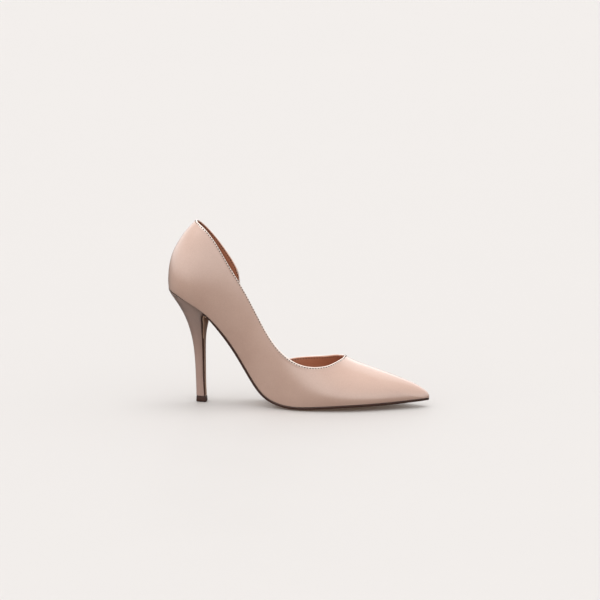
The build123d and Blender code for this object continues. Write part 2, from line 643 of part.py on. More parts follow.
def main():
    """Make every node and write one STEP file for each."""
    os.makedirs("parts", exist_ok=True)
    vamp, quarter = upper_pieces()
    puff, backer, counter = backer_pieces()
    vamp_lining, quarter_lining = lining_pieces()
    cushion, pad, sock = sock_pieces()
    core, cover = heel_pieces()
    nodes = {
        "vamp_and_outer_quarter": vamp,
        "inner_quarter": quarter,
        "toe_puff": puff,
        "vamp_backer": backer,
        "heel_counter": counter,
        "vamp_lining": vamp_lining,
        "quarter_lining": quarter_lining,
        "arch_edge_wrap": arch_wrap(),
        "insole_board": insole_board(),
        "steel_shank": steel_shank(),
        "shank_rivets": Compound([rivet(x, 0.0) for x in RIVET_PLACES]),
        "bottom_filler": bottom_filler(),
        "forepart_cushion": cushion,
        "heel_pad": pad,
        "sock_lining": sock,
        "outsole": outsole(),
        "heel_core": core,
        "heel_cover": cover,
        "heel_tube": heel_tube(),
        "heel_tip": heel_tip(),
        "heel_tip_pin": tip_pin(0.0),
        "heel_screw": screw_hole(0.0),
        "heel_nails": Compound([nail_hole(place, 0.0) for place in NAIL_PLACES]),
    }
    for name, shape in nodes.items():
        export_step(shape, f"parts/{name}.step")


main()
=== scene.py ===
import math

import bmesh
import bpy
import numpy as np
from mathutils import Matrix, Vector


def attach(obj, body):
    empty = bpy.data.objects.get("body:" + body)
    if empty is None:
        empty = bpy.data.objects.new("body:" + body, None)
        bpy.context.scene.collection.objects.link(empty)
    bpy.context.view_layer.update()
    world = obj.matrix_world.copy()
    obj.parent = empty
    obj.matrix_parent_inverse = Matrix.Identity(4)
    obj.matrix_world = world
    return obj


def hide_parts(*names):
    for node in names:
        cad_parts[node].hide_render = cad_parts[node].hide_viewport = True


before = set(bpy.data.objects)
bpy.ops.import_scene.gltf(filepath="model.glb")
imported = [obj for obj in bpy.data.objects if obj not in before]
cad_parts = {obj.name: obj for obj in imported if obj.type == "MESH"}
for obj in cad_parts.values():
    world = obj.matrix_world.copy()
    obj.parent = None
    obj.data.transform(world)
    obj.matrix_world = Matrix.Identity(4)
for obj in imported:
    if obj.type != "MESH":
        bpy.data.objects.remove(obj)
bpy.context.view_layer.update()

# All shapes below are worked out in millimetres and made in metres.
MM = 0.001

# ---- shape of the last, the same as the frame's ---------------------------------------------
BACK_POLE_X, BACK_POLE_Z = -31.5, 112.0
TOE_POLE_X, TOE_POLE_Z = 209.8, 10.4
SEAT_CENTRE_X, SEAT_LENGTH = -5.0, 25.7
TOE_ROUND_X = 200.0
BOTTOM_CROWN = 0.00105
THROAT_X = 131.9
SIDE_CUT_X = 104.0
FAN_X = 8.0               # the round heel cup is drawn as a fan about this point
SMOOTH_BACK_X = -28.5     # behind this the back is rounded off to its pole
SMOOTH_TOE_X = 203.0      # and ahead of this the toe
HALVINGS, FINE_HALVINGS = 26, 40      # steps of a search that halves its range each time
TIP_HEIGHT = 5.5


def curve(points):
    """Natural cubic spline through a few points, straight beyond both ends."""
    x = np.array([p[0] for p in points], float)
    y = np.array([p[1] for p in points], float)
    n = len(x)
    h = np.diff(x)
    a = np.zeros((n, n))
    r = np.zeros(n)
    a[0, 0] = a[-1, -1] = 1.0
    for i in range(1, n - 1):
        a[i, i - 1:i + 2] = h[i - 1], 2 * (h[i - 1] + h[i]), h[i]
        r[i] = 6 * ((y[i + 1] - y[i]) / h[i] - (y[i] - y[i - 1]) / h[i - 1])
    m = np.linalg.solve(a, r)
    start = (y[1] - y[0]) / h[0] - h[0] * (2 * m[0] + m[1]) / 6
    end = (y[-1] - y[-2]) / h[-1] + h[-1] * (2 * m[-1] + m[-2]) / 6

    def f(t):
        t = np.asarray(t, float)
        i = np.clip(np.searchsorted(x, t) - 1, 0, n - 2)
        p = (x[i + 1] - t) / h[i]
        q = (t - x[i]) / h[i]
        value = p * y[i] + q * y[i + 1]
        value = value + ((p**3 - p) * m[i] + (q**3 - q) * m[i + 1]) * h[i] ** 2 / 6
        value = np.where(t < x[0], y[0] + start * (t - x[0]), value)
        return np.where(t > x[-1], y[-1] + end * (t - x[-1]), value)

    return f


bottom_line = curve([(-31, 105.4), (-24, 102.9), (-17, 99.4), (-8.5, 94.4), (2, 87.8), (11, 80.3),
                     (20, 70.3), (30, 57.0), (40, 41.0), (50, 24.4), (56, 16.0), (62, 10.2),
                     (70, 5.9), (82, 2.88), (100, 2.36), (132, 4.4), (167, 6.3), (209, 8.8)])
back_line = curve([(-29.7, 129.9), (-27.8, 136.3), (-24.0, 144.9), (-20.3, 151.1), (-16.6, 156.6),
                   (-12.8, 161.2), (-9.0, 165.3), (-4.7, 169.2), (4, 175.5), (16, 178.5),
                   (32, 172), (58, 143), (86, 100), (112, 65), (131.5, 46.3), (139, 42.2),
                   (150, 38.3), (161, 34.8), (172, 31.3), (183, 27.6), (194, 23.3), (200, 20.4),
                   (205, 17.0)])
centre_line = curve([(-31, 0), (60, 0), (110, 0), (150, 1.2), (180, 2.8), (209.8, 4.2)])
outer_width = curve([(-5, 24.5), (10, 23.6), (26, 21.4), (45, 20.4), (60, 23.4), (75, 29.0),
                     (90, 34.2), (100, 36.0), (112, 36.4), (131, 35.2), (150, 31.2), (170, 23.8),
                     (190, 13.8), (200, 8.6), (210, 4.4)])
inner_width = curve([(-5, 24.1), (10, 22.6), (26, 19.6), (45, 17.6), (60, 20.4), (75, 27.2),
                     (90, 33.8), (100, 36.2), (112, 37.2), (131, 36.0), (150, 31.8), (170, 23.8),
                     (190, 13.6), (200, 8.4), (210, 4.4)])
bulge = curve([(-31, 4.6), (-5, 4.6), (20, 5.0), (45, 5.0), (75, 4.6), (105, 4.2), (140, 3.0),
               (180, 1.6), (209, 1.0)])
shoulder = curve([(-31, 0.76), (-5, 0.72), (20, 0.74), (60, 0.74), (100, 0.58), (131, 0.56),
                  (170, 0.56), (209, 0.6)])
wall_rise = curve([(-31, 0.40), (-5, 0.38), (20, 0.42), (60, 0.52), (100, 0.50), (131, 0.46),
                   (209, 0.50)])
outer_topline = curve([(-4.7, 169.2), (4.8, 163.2), (17.2, 148.4), (27.1, 132.2), (40.5, 110.4),
                       (52.3, 89.4), (64.5, 68.6), (76.3, 54.6), (89.4, 45.6), (99.2, 42.0),
                       (108.5, 40.6)])
inner_quarter_topline = curve([(-4.7, 169.2), (3.4, 159.6), (14.0, 146.4), (23.0, 133.8)])
inner_quarter_front = curve([(48.6, 38.3), (58.0, 37.0), (84.0, 34.6), (103.0, 33.1), (112.6, 31.9),
                             (118.6, 31.0), (123.2, 29.2), (133.8, 23.0), (146.4, 14.0)])
inner_vamp_topline = curve([(64.0, 28.6), (68.0, 33.2), (74.4, 36.6), (84.0, 38.2), (95.0, 39.1),
                            (108.0, 40.2)])
THROAT_OUTER = [(131.4, -5.5), (129.3, -12.6), (125.0, -20.2), (119.0, -26.4), (114.0, -29.3),
                (109.0, -31.3)]
THROAT_INNER = [(131.4, 6.5), (129.3, 13.4), (125.0, 20.3), (119.0, 26.3), (114.0, 29.8),
                (109.0, 32.0)]


def slope(f, x):
    return (f(x + 0.05) - f(x - 0.05)) / 0.1


def rounded_end(x, start, end, power):
    """One along the body, falling to nought at a rounded end."""
    part = np.clip((np.asarray(x, float) - start) / (end - start), 0.0, 1.0)
    return np.sqrt(np.maximum(0.0, 1.0 - part**power))


def bottom_height(x, level):
    """Height of a surface that lies a given distance above the underside of the upper."""
    return bottom_line(x) + level * np.hypot(1.0, slope(bottom_line, x))


def top_height(x):
    """Height of the ridge of the last."""
    x = np.asarray(x, float)
    back = BACK_POLE_Z + (back_line(SMOOTH_BACK_X) - BACK_POLE_Z) * np.sqrt(
        np.clip((x - BACK_POLE_X) / (SMOOTH_BACK_X - BACK_POLE_X), 0, 1))
    toe = TOE_POLE_Z + (back_line(SMOOTH_TOE_X) - TOE_POLE_Z) * np.clip(
        (TOE_POLE_X - x) / (TOE_POLE_X - SMOOTH_TOE_X), 0, 1) ** 0.55
    return np.where(x < SMOOTH_BACK_X, back, np.where(x > SMOOTH_TOE_X, toe, back_line(x)))


def feather_width(x, side, inset=0.0):
    """Half width of the bottom on one side, side being -1 outer or +1 inner."""
    x = np.asarray(x, float)
    width = outer_width if side < 0 else inner_width
    seat = rounded_end(-x, -SEAT_CENTRE_X, -SEAT_CENTRE_X + SEAT_LENGTH - inset, 2.0)
    cup = rounded_end(-x, -SEAT_CENTRE_X, -BACK_POLE_X - inset, 2.0)
    rear = (width(SEAT_CENTRE_X) - inset) * np.maximum(seat, 0.45 * cup)
    grow = np.hypot(1.0, slope(width, x))
    front = np.maximum(width(x) - inset * grow, 0.0)
    front = front * rounded_end(x, TOE_ROUND_X - inset, TOE_POLE_X - inset, 2.2)
    return np.where(x < SEAT_CENTRE_X, rear, front)


def section(x, side):
    """Half widths and heights of the four points that shape the wall at a station."""
    x = np.asarray(x, float)
    foot = feather_width(x, side)
    low = bottom_line(x) + BOTTOM_CROWN * foot**2
    high = top_height(x)
    width = outer_width if side < 0 else inner_width
    cup = rounded_end(-x, -SEAT_CENTRE_X, -BACK_POLE_X, 2.0)
    round_toe = rounded_end(x, TOE_ROUND_X, TOE_POLE_X, 2.2)
    lift = np.maximum(0.0, 1.0 - np.sqrt(np.maximum(0.0, x - BACK_POLE_X)))
    low = np.where(x < SEAT_CENTRE_X, low + (BACK_POLE_Z - low) * lift, low)
    full = np.where(x < SEAT_CENTRE_X, (width(SEAT_CENTRE_X) + 0.8) * cup, foot + 0.8 * round_toe)
    out = foot + bulge(x) * cup * round_toe
    mid = low + wall_rise(x) * (high - low)
    return foot, out, shoulder(x) * full, low, mid, high


def wall_reach(shape, t):
    """Half width of the wall, t from 0 at the bottom edge to 1 at the ridge."""
    foot, out, over = shape[:3]
    p = 1 - t
    return p**3 * foot + 3 * t * p**2 * out + 3 * t**2 * p * over


def wall_level(shape, t):
    """Height of the wall at the same t."""
    low, mid, high = shape[3:]
    p = 1 - t
    return p**3 * low + 3 * t * p**2 * mid + (3 * t**2 * p + t**3) * high


def wall(x, side, t):
    """Points on the outside of the upper."""
    x = np.asarray(x, float)
    t = np.asarray(t, float)
    shape = section(x, side)
    return np.stack([x + 0 * t, centre_line(x) + side * wall_reach(shape, t), wall_level(shape, t)], -1)


def t_at_height(x, side, z):
    """How far up the wall a height is reached."""
    shape = section(x, side)
    low, high = np.zeros_like(np.asarray(x, float) + z), np.ones_like(np.asarray(x, float) + z)
    for _ in range(HALVINGS):
        t = (low + high) / 2
        above = wall_level(shape, t) >= z
        high = np.where(above, t, high)
        low = np.where(above, low, t)
    return (low + high) / 2


def t_at_reach(x, side, y):
    """How far up the wall it has come in to a half width, near the ridge."""
    shape = section(x, side)
    low, high = 0.3, 1.0
    for _ in range(FINE_HALVINGS):
        t = (low + high) / 2
        if float(wall_reach(shape, t)) <= y:
            high = t
        else:
            low = t
    return (low + high) / 2


# ---- ribs: lines on the upper from the topline down to the sole ------------------------------
RIB_POINTS = 140
CORNER_POINTS = 12        # of a rib that turns down at the tip of the toe
FAN_RIBS = 30             # from the centre back to the side of the heel
SEAT_HIGH, PEAK_HIGH = 105.5, 172.0   # the fan's ribs run between these heights
SIDE_STEP = 2.0           # between the ribs of the sides
LINING_SPLIT_X = 72.0     # the vamp lining meets the quarter lining here on the outer side
# The rounded rear edge of the vamp's inner wing: station and height of its top, station of its foot
WING_REAR = [(64.4, 28.6, 65.0), (63.0, 26.0, 63.8), (62.0, 23.2, 62.7), (61.3, 20.6, 61.8),
             (60.7, 17.8, 61.0)]
THROAT_STEPS = 34
TIP_REACH = 0.6           # the ribs of this first stretch of the throat all end at the tip of the toe
TOE_TIP_X = 209.74


def fan_rib(side, angle, topline):
    """A rib of the round heel cup, on an upright plane through the fan's axis."""
    reach = math.tan(angle)
    low, high = BACK_POLE_X + 0.02, FAN_X
    for _ in range(FINE_HALVINGS):
        x = (low + high) / 2
        if float(feather_width(x, side)) >= reach * (FAN_X - x):
            high = x
        else:
            low = x
    foot_z = min(float(bottom_line(high) + BOTTOM_CROWN * feather_width(high, side) ** 2), SEAT_HIGH)
    z = np.linspace(foot_z, PEAK_HIGH, RIB_POINTS)
    low, high = np.full(RIB_POINTS, BACK_POLE_X + 0.02), np.full(RIB_POINTS, FAN_X)
    for _ in range(HALVINGS):
        x = (low + high) / 2
        shape = section(x, side)
        y = wall_reach(shape, t_at_height(x, side, z))
        y = np.where((z < shape[3]) | (top_height(x) <= z), 0.0, y)
        past = y >= reach * (FAN_X - x)
        high = np.where(past, x, high)
        low = np.where(past, low, x)
    points = np.stack([high, side * reach * (FAN_X - high), z], -1)
    above = points[:, 2] >= topline(points[:, 0])
    first = int(np.argmax(above)) if above.any() else RIB_POINTS - 1
    a, b = points[first - 1], points[first]
    gap_a, gap_b = a[2] - float(topline(a[0])), b[2] - float(topline(b[0]))
    crossing = a + (b - a) * (-gap_a / (gap_b - gap_a))
    return np.vstack([crossing[None], points[:first][::-1]])


def domain_rib(side, x_top, t_top, x_foot, t_foot=0.0):
    """A rib that runs straight in the (station, height) plane of the wall."""
    k = np.linspace(0, 1, RIB_POINTS)
    points = wall(x_top + (x_foot - x_top) * k, side, t_top + (t_foot - t_top) * k)
    if t_foot > 0:
        k = np.linspace(0, 1, CORNER_POINTS)[1:]
        points = np.vstack([points, wall(x_foot + 0 * k, side, t_foot * (1 - k))])
    return points


def heel_fan(side, topline):
    """Ribs from the centre back round to the side of the heel."""
    ribs = []
    for i in range(FAN_RIBS):
        angle = math.pi / 2 * i / FAN_RIBS
        ribs.append(fan_rib(side, max(angle, 0.0005), topline))
    return ribs


def throat_ribs(side):
    """Ribs that fan out from the rounded throat to the pointed toe."""
    shape = THROAT_OUTER if side < 0 else THROAT_INNER
    topline = outer_topline if side < 0 else inner_vamp_topline
    end = wall(SIDE_CUT_X, side, t_at_height(SIDE_CUT_X, side, float(topline(SIDE_CUT_X))))
    points = [(THROAT_X, 0.5)] + shape + [(SIDE_CUT_X, float(end[1]))]
    lengths = np.cumsum([0] + [math.dist(a, b) for a, b in zip(points, points[1:])])
    along_x = curve(list(zip(lengths, [p[0] for p in points])))
    along_y = curve(list(zip(lengths, [p[1] for p in points])))
    foot_at = curve([(0.0, TOE_TIP_X), (0.05, 209.1), (0.16, 205.2), (0.32, 195.5), (0.5, 178.5),
                     (0.68, 153.5), (0.84, 127.0), (1.0, SIDE_CUT_X + 3.0)])
    ribs = []
    for t_foot in (1.0, 0.75, 0.5, 0.25, 0.0):
        s = (1.0 - t_foot) * TIP_REACH
        x = min(float(along_x(s)), THROAT_X)
        t = 1.0 if s == 0 else t_at_reach(x, side, abs(float(along_y(s)) - float(centre_line(x))))
        ribs.append(domain_rib(side, x, t, TOE_TIP_X, t_foot))
    for i in range(1, THROAT_STEPS + 1):
        part = (i / THROAT_STEPS) ** 1.15
        s = TIP_REACH + (lengths[-1] - TIP_REACH) * part
        x = min(float(along_x(s)), THROAT_X)
        t = t_at_reach(x, side, abs(float(along_y(s)) - float(centre_line(x))))
        ribs.append(domain_rib(side, x, t, min(float(foot_at(part)), 209.7)))
    return ribs


def upper_ribs():
    """Ribs of the vamp with the outer quarter, and the number of the rib where the lining is split."""
    ribs = heel_fan(-1, outer_topline)
    lean = curve([(8, 0), (60, 0), (80, 0.2), (104, 3.0)])
    for x in np.arange(FAN_X, SIDE_CUT_X - 1.0, SIDE_STEP):
        t = float(t_at_height(x, -1, float(outer_topline(x))))
        ribs.append(domain_rib(-1, x, t, x + float(lean(x))))
    split = FAN_RIBS + int((LINING_SPLIT_X - FAN_X) / SIDE_STEP)
    ribs += throat_ribs(-1)[::-1]
    ribs += throat_ribs(1)[1:]
    for x in SIDE_CUT_X - SIDE_STEP * np.arange(1, 20):
        t = float(t_at_height(x, 1, float(inner_vamp_topline(x))))
        ribs.append(domain_rib(1, x, t, x + 3.0 * max(0.0, (x - LINING_SPLIT_X) / 32.0)))
    for x, z, foot in WING_REAR:
        t = float(t_at_height(x, 1, z))
        ribs.append(domain_rib(1, x, t, foot))
    return ribs, split


def quarter_ribs():
    """Ribs of the inner quarter, from the centre back to its front edge."""
    ribs = heel_fan(1, inner_quarter_topline)
    edge = [(x, float(inner_quarter_topline(x))) for x in (8.0, 11.0, 14.0, 17.0, 20.0)]
    heights = [133.8, 130.8, 128.0, 125.6, 123.4, 121.6, 120.2, 118.8, 117.2, 115.2, 112.6, 109.5]
    heights += list(np.arange(105.5, 50.0, -4.5)) + [48.6]
    edge += [(float(inner_quarter_front(z)), z) for z in heights]
    along = np.cumsum([0] + [math.dist(a, b) for a, b in zip(edge, edge[1:])])
    foot_at = curve([(0, 8.0), (0.35, 16.0), (0.6, 23.5), (0.8, 30.0), (1.0, 38.6)])
    for (x, z), s in zip(edge, along / along[-1]):
        ribs.append(domain_rib(1, x, float(t_at_height(x, 1, z)), float(foot_at(s))))
    return ribs


# Distances below the topline of the closely set rows, and the number of rows in all
TOP_ROWS = [0.0, 0.35, 0.75, 1.15, 1.5, 1.9, 2.4, 3.0, 3.8, 4.9, 6.4, 8.4]
ROWS = 46
SHORT_RIB = 26.0          # shorter ribs have their top rows closer together


def resample(rib):
    """Points of a rib close together at the topline and even below it."""
    length = np.concatenate([[0], np.cumsum(np.linalg.norm(np.diff(rib, axis=0), axis=1))])
    total = length[-1]
    squeeze = min(1.0, total / SHORT_RIB)
    top = np.array(TOP_ROWS) * squeeze
    rest = np.linspace(top[-1], total, ROWS - len(top) + 1)[1:]
    want = np.concatenate([top, rest])
    return np.stack([np.interp(want, length, rib[:, i]) for i in range(3)], -1)


def smooth_across(grid):
    """Evens out the small unevenness from one rib to the next below the topline."""
    below = slice(8, -1)
    for _ in range(2):
        middle = (grid[:-2] + grid[2:]) / 2
        grid[1:-1, below] += 0.5 * (middle - grid[1:-1])[:, below]
    return grid


def normals(grid):
    """Outward normals of a grid of points."""
    across = np.gradient(grid, axis=0)
    down = np.gradient(grid, axis=1)
    n = np.cross(across, down)
    length = np.linalg.norm(n, axis=-1, keepdims=True)
    return n / np.maximum(length, 1e-9)


def bezier(points, count):
    """Points along a cubic curve with four control points."""
    a, b, c, d = (np.asarray(point, float) for point in points)
    t = np.linspace(0, 1, count)[:, None]
    return (1 - t) ** 3 * a + 3 * t * (1 - t) ** 2 * b + 3 * t**2 * (1 - t) * c + t**3 * d


# ---- mesh helpers ----------------------------------------------------------------------------
def add_object(name, vertices, faces, material, smooth=True):
    """New mesh object from points in millimetres."""
    mesh = bpy.data.meshes.new(name)
    mesh.from_pydata([tuple(float(c) * MM for c in v) for v in vertices], [], faces)
    mesh.validate()
    mesh.update()
    obj = bpy.data.objects.new(name, mesh)
    bpy.context.scene.collection.objects.link(obj)
    mesh.materials.append(material)
    for polygon in mesh.polygons:
        polygon.use_smooth = smooth
    return obj


def grid_faces(rows, columns, closed_columns=False, flip=False):
    """Four-sided faces between the rows of a grid of points."""
    faces = []
    last = columns if closed_columns else columns - 1
    for i in range(rows - 1):
        for j in range(last):
            k = (j + 1) % columns
            face = (i * columns + j, i * columns + k, (i + 1) * columns + k, (i + 1) * columns + j)
            faces.append(face[::-1] if flip else face)
    return faces


def grid_object(name, grid, material, closed_columns=False, flip=False):
    rows, columns = grid.shape[:2]
    return add_object(name, grid.reshape(-1, 3), grid_faces(rows, columns, closed_columns, flip), material)


def weld(obj, distance=0.02):
    """Joins points that fall together and turns every face outwards."""
    bm = bmesh.new()
    bm.from_mesh(obj.data)
    bmesh.ops.remove_doubles(bm, verts=bm.verts, dist=distance * MM)
    bmesh.ops.recalc_face_normals(bm, faces=bm.faces)
    bm.to_mesh(obj.data)
    bm.free()


# ---- upper, lining and stitching -------------------------------------------------------------
def dressed(ribs):
    """Grid of surface points and their normals for a list of ribs."""
    grid = np.array([resample(rib) for rib in ribs])
    grid = smooth_across(grid)
    return grid, normals(grid)


def facing_out(grid, n):
    """Turns the normals to point away from the middle of the shoe."""
    centre = grid.reshape(-1, 3).mean(0)
    flip = np.sum((grid - centre) * n) < 0
    return -n if flip else n


# How far each row below the topline stands out: a padded edge with a groove at the stitching
FOLD = {1: 0.12, 2: 0.14, 3: 0.06, 4: -0.10, 5: 0.06, 6: 0.13, 7: 0.08}
RIM_ROW, STITCH_ROW, TACK_ROW = 2, 4, 5
INNER_FACE = 1.15         # depth of the inner face of the outside leather
# These rows get the lighter fold leather: a painted highlight along the folded top edge.
FOLD_ROWS = 14            # rows of the skin from its inner face over the fold to just past the stitching
# The bottom edge, turned in under the foot: distance back up the wall and distance inwards
TURN_IN = [(0.55, 0.0), (0.16, 0.16), (0.0, 0.55), (0.0, 2.6)]


def skin(name, ribs, material, painted_highlight_material, node):
    """The outside leather with its folded top edge and its edge turned in under the foot."""
    grid, n = dressed(ribs)
    n = facing_out(grid, n)
    up = grid[:, 0] - grid[:, RIM_ROW]
    up /= np.linalg.norm(up, axis=-1, keepdims=True)
    rows = []
    for k in (10, 8, 6, 4, 3):
        rows.append(grid[:, k] - INNER_FACE * n[:, k])
    rim_n = n[:, RIM_ROW]
    centre = grid[:, RIM_ROW] - INNER_FACE / 2 * rim_n
    radius = INNER_FACE / 2 + 0.08
    for degrees in (180, 145, 110, 75, 40, 15):
        a = math.radians(degrees)
        rows.append(centre + radius * (math.cos(a) * rim_n + math.sin(a) * up))
    for k in range(RIM_ROW, ROWS - 1):
        rows.append(grid[:, k] + FOLD.get(k, 0.0) * n[:, k])
    foot, foot_n = grid[:, -1], n[:, -1]
    down = grid[:, -1] - grid[:, -3]
    down /= np.linalg.norm(down, axis=-1, keepdims=True)
    for back, inwards in TURN_IN:
        rows.append(foot - back * down - inwards * foot_n)
    full = np.stack(rows, axis=1)
    obj = grid_object(name, full, material)
    obj.data.materials.append(painted_highlight_material)
    columns = full.shape[1]
    # The rows over the fold take the lighter second material, a painted highlight along the folded top edge.
    for polygon in obj.data.polygons:
        if polygon.index % (columns - 1) < FOLD_ROWS:
            polygon.material_index = 1
    weld(obj)
    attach(obj, "root")
    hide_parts(node)
    return grid, n


def lining(name, grid, n, node, material):
    """Lining leather just inside the top edge, down to the sock."""
    rows = []
    places = [(4, 1.18), (3, 1.25), (2, 1.4), (2, 1.75), (3, 1.95)]
    for k in range(STITCH_ROW, ROWS):
        places.append((k, 2.0 + 0.9 * min(1.0, (k - STITCH_ROW) / 10)))
    for k, depth in places:
        rows.append(grid[:, k] - depth * n[:, k])
    full = np.stack(rows, axis=1)
    obj = grid_object(name, full, material)
    weld(obj)
    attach(obj, "root")
    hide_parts(node)
    return obj


STITCH_PITCH = 2.55
STITCH_LENGTH = 1.6
STITCH_RADIUS = 0.5
INSIDE_STITCH_DEPTH = 1.98
# Places along a stitch and how full the thread is there
STITCH_PROFILE = [(0.0, 0.15), (0.12, 0.7), (0.3, 1.0), (0.5, 1.06), (0.7, 1.0), (0.88, 0.7), (1.0, 0.15)]
THREAD_SIDES = 6


def tube_faces(first, rings):
    """Faces of a closed tube whose rings of points start at a given number."""
    faces = []
    for k in range(rings - 1):
        for j in range(THREAD_SIDES):
            a = first + k * THREAD_SIDES + j
            b = first + k * THREAD_SIDES + (j + 1) % THREAD_SIDES
            faces.append((a, b, b + THREAD_SIDES, a + THREAD_SIDES))
    faces.append(tuple(first + j for j in range(THREAD_SIDES))[::-1])
    faces.append(tuple(first + THREAD_SIDES * (rings - 1) + j for j in range(THREAD_SIDES)))
    return faces


def stitches(lines, material):
    """Separate thread stitches along the folded top edges."""
    vertices, faces = [], []
    for line, n in lines:
        length = np.concatenate([[0], np.cumsum(np.linalg.norm(np.diff(line, axis=0), axis=1))])
        count = int(length[-1] / STITCH_PITCH)

        def at(s):
            p = np.array([np.interp(s, length, line[:, i]) for i in range(3)])
            m = np.array([np.interp(s, length, n[:, i]) for i in range(3)])
            return p, m / np.linalg.norm(m)

        for i in range(count):
            s0 = (i + 0.5) * length[-1] / count - STITCH_LENGTH / 2
            faces += tube_faces(len(vertices), len(STITCH_PROFILE))
            for part, fat in STITCH_PROFILE:
                p, m = at(s0 + STITCH_LENGTH * part)
                q, _ = at(s0 + STITCH_LENGTH * part + 0.2)
                run = (q - p) / np.linalg.norm(q - p)
                side = np.cross(run, m)
                lift = -0.10 + 0.12 * math.sin(math.pi * part)
                for j in range(THREAD_SIDES):
                    a = 2 * math.pi * j / THREAD_SIDES
                    round_it = math.cos(a) * side + math.sin(a) * 0.8 * m
                    vertices.append(p + m * lift + STITCH_RADIUS * fat * round_it)
    obj = add_object("topline_stitching", vertices, faces, material)
    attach(obj, "root")
    return obj


TACK_Z = 120.5            # height of the corner of the inner quarter
TACK_RADIUS = 0.26
TACK_RINGS = 9


def corner_tack(grid, n, material):
    """Short bar of pale thread that holds the folded corner of the inner quarter."""
    corner = int(np.argmin(np.abs(grid[:, 0, 2] - TACK_Z)))
    vertices, faces = [], []
    for i in (corner - 1, corner, corner + 1):
        top, rim, low = grid[i, 0], grid[i, RIM_ROW], grid[i, TACK_ROW]
        path = bezier([low - 2.0 * n[i, TACK_ROW], rim - 1.9 * n[i, RIM_ROW], top - 1.2 * n[i, 0],
                       top - 0.4 * n[i, 0] + 0.05 * (top - rim)], TACK_RINGS)
        faces += tube_faces(len(vertices), TACK_RINGS)
        for j, p in enumerate(path):
            run = path[min(j + 1, TACK_RINGS - 1)] - path[max(j - 1, 0)]
            run /= np.linalg.norm(run)
            side = np.cross(run, n[i, 3])
            side /= np.linalg.norm(side)
            over = np.cross(side, run)
            for a in np.arange(THREAD_SIDES) * 2 * math.pi / THREAD_SIDES:
                vertices.append(p + TACK_RADIUS * (math.cos(a) * side + math.sin(a) * over))
    obj = add_object("corner_bar_tack", vertices, faces, material)
    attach(obj, "root")
    return obj


# ---- pads, sock, arch wrap and outsole -------------------------------------------------------
PAD_LOW, PAD_EDGE, PAD_CROWN = 4.95, 5.3, 1.1     # underside, edge of the top and rise of the middle
PAD_INSET = 3.8
PAD_END = 6.0             # length over which a pad's end is rounded off
SOCK_INSET = 3.1
SOCK_THICK = 0.7


def bottom_point(x, y, level):
    """A point a given distance above the underside of the upper."""
    return np.array([x, y, float(bottom_height(x, level)) + BOTTOM_CROWN * y * y])


def pad(name, x_start, x_end, node, material):
    """Thin foam pad between board and sock, thickest in the middle and rounded at its edge."""
    xs = x_start + (x_end - x_start) * np.concatenate([[0, 0.004, 0.015, 0.04], np.linspace(0.08, 0.92, 30),
                                                       [0.96, 0.985, 0.996, 1]])
    across = np.concatenate([[-1.0, -0.99, -0.96, -0.9], np.linspace(-0.8, 0.8, 17), [0.9, 0.96, 0.99, 1.0]])
    rows = []
    for x in xs:
        end = min(x - x_start, x_end - x) / PAD_END
        crown_end = math.sqrt(max(0.0, 1.0 - max(0.0, 1.0 - end) ** 2))
        top, bottom = [], []
        for k in across:
            half = float(feather_width(x, -1 if k < 0 else 1, PAD_INSET))
            y = float(centre_line(x)) + k * half
            crown = (1.0 - abs(k) ** 6) * crown_end
            top.append(bottom_point(x, y, PAD_EDGE + PAD_CROWN * crown))
            bottom.append(bottom_point(x, y, PAD_LOW))
        rows.append(top + bottom[::-1])
    obj = grid_object(name, np.array(rows), material, closed_columns=True)
    weld(obj)
    bm = bmesh.new()
    bm.from_mesh(obj.data)
    bmesh.ops.holes_fill(bm, edges=bm.edges, sides=0)
    bmesh.ops.recalc_face_normals(bm, faces=bm.faces)
    bm.to_mesh(obj.data)
    bm.free()
    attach(obj, "root")
    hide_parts(node)


ARCH_MIDDLE, ARCH_HALF = 49.0, 11.2      # the stretch with no upper on the inner side
SOCK_TOP = 7.2
SOCK_WALL = (-20.0, 150.0)               # between these the sock reaches the lining
LINING_FACE = 2.95
WRAP_TOP = 7.6
WRAP_END = 4.0                           # of the arch wrap is hidden at each end


def beyond_arch(x, tuck=3.0):
    """Nought along the open arch, rising to one where the quarter or the vamp wing covers the edge."""
    return float(np.clip((abs(x - ARCH_MIDDLE) - ARCH_HALF) / tuck, 0.0, 1.0))


def sock_width(x, side):
    """Half width of the sock: up to the lining where there is a wall, and short of the edge at the arch."""
    half = float(feather_width(x, side, SOCK_INSET))
    if not SOCK_WALL[0] < x < SOCK_WALL[1]:
        return half
    height = float(bottom_height(x, SOCK_TOP)) + BOTTOM_CROWN * half**2
    to_lining = float(wall_reach(section(x, side), t_at_height(x, side, height))) - LINING_FACE
    walled = beyond_arch(x) if side > 0 else 1.0
    return half + walled * max(0.0, to_lining - half)


def sock(material):
    """Leather sock that lies on the insole, its edge turned up a little against the lining."""
    xs = np.concatenate([[-27.7, -27.4, -26.6, -25.0, -22.5], np.arange(-20, 189, 3.0)])
    across = np.concatenate([[-1.0, -0.985, -0.95], np.linspace(-0.9, 0.9, 25), [0.95, 0.985, 1.0]])
    rows = []
    for x in xs:
        row = []
        for k in across:
            side = -1 if k < 0 else 1
            y = float(centre_line(x)) + k * sock_width(x, side)
            lift = 0.5 * max(0.0, (abs(k) - 0.9) / 0.1) ** 2
            dish = -0.35 * (1 - k * k) if x < 12 else 0.0
            row.append(bottom_point(x, y, SOCK_TOP + lift + dish))
        rows.append(row)
    obj = grid_object("sock_lining_leather", np.array(rows), material, flip=True)
    thick = obj.modifiers.new("thickness", "SOLIDIFY")
    thick.thickness = SOCK_THICK * MM
    thick.offset = -1
    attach(obj, "root")
    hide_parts("sock_lining")
    return obj


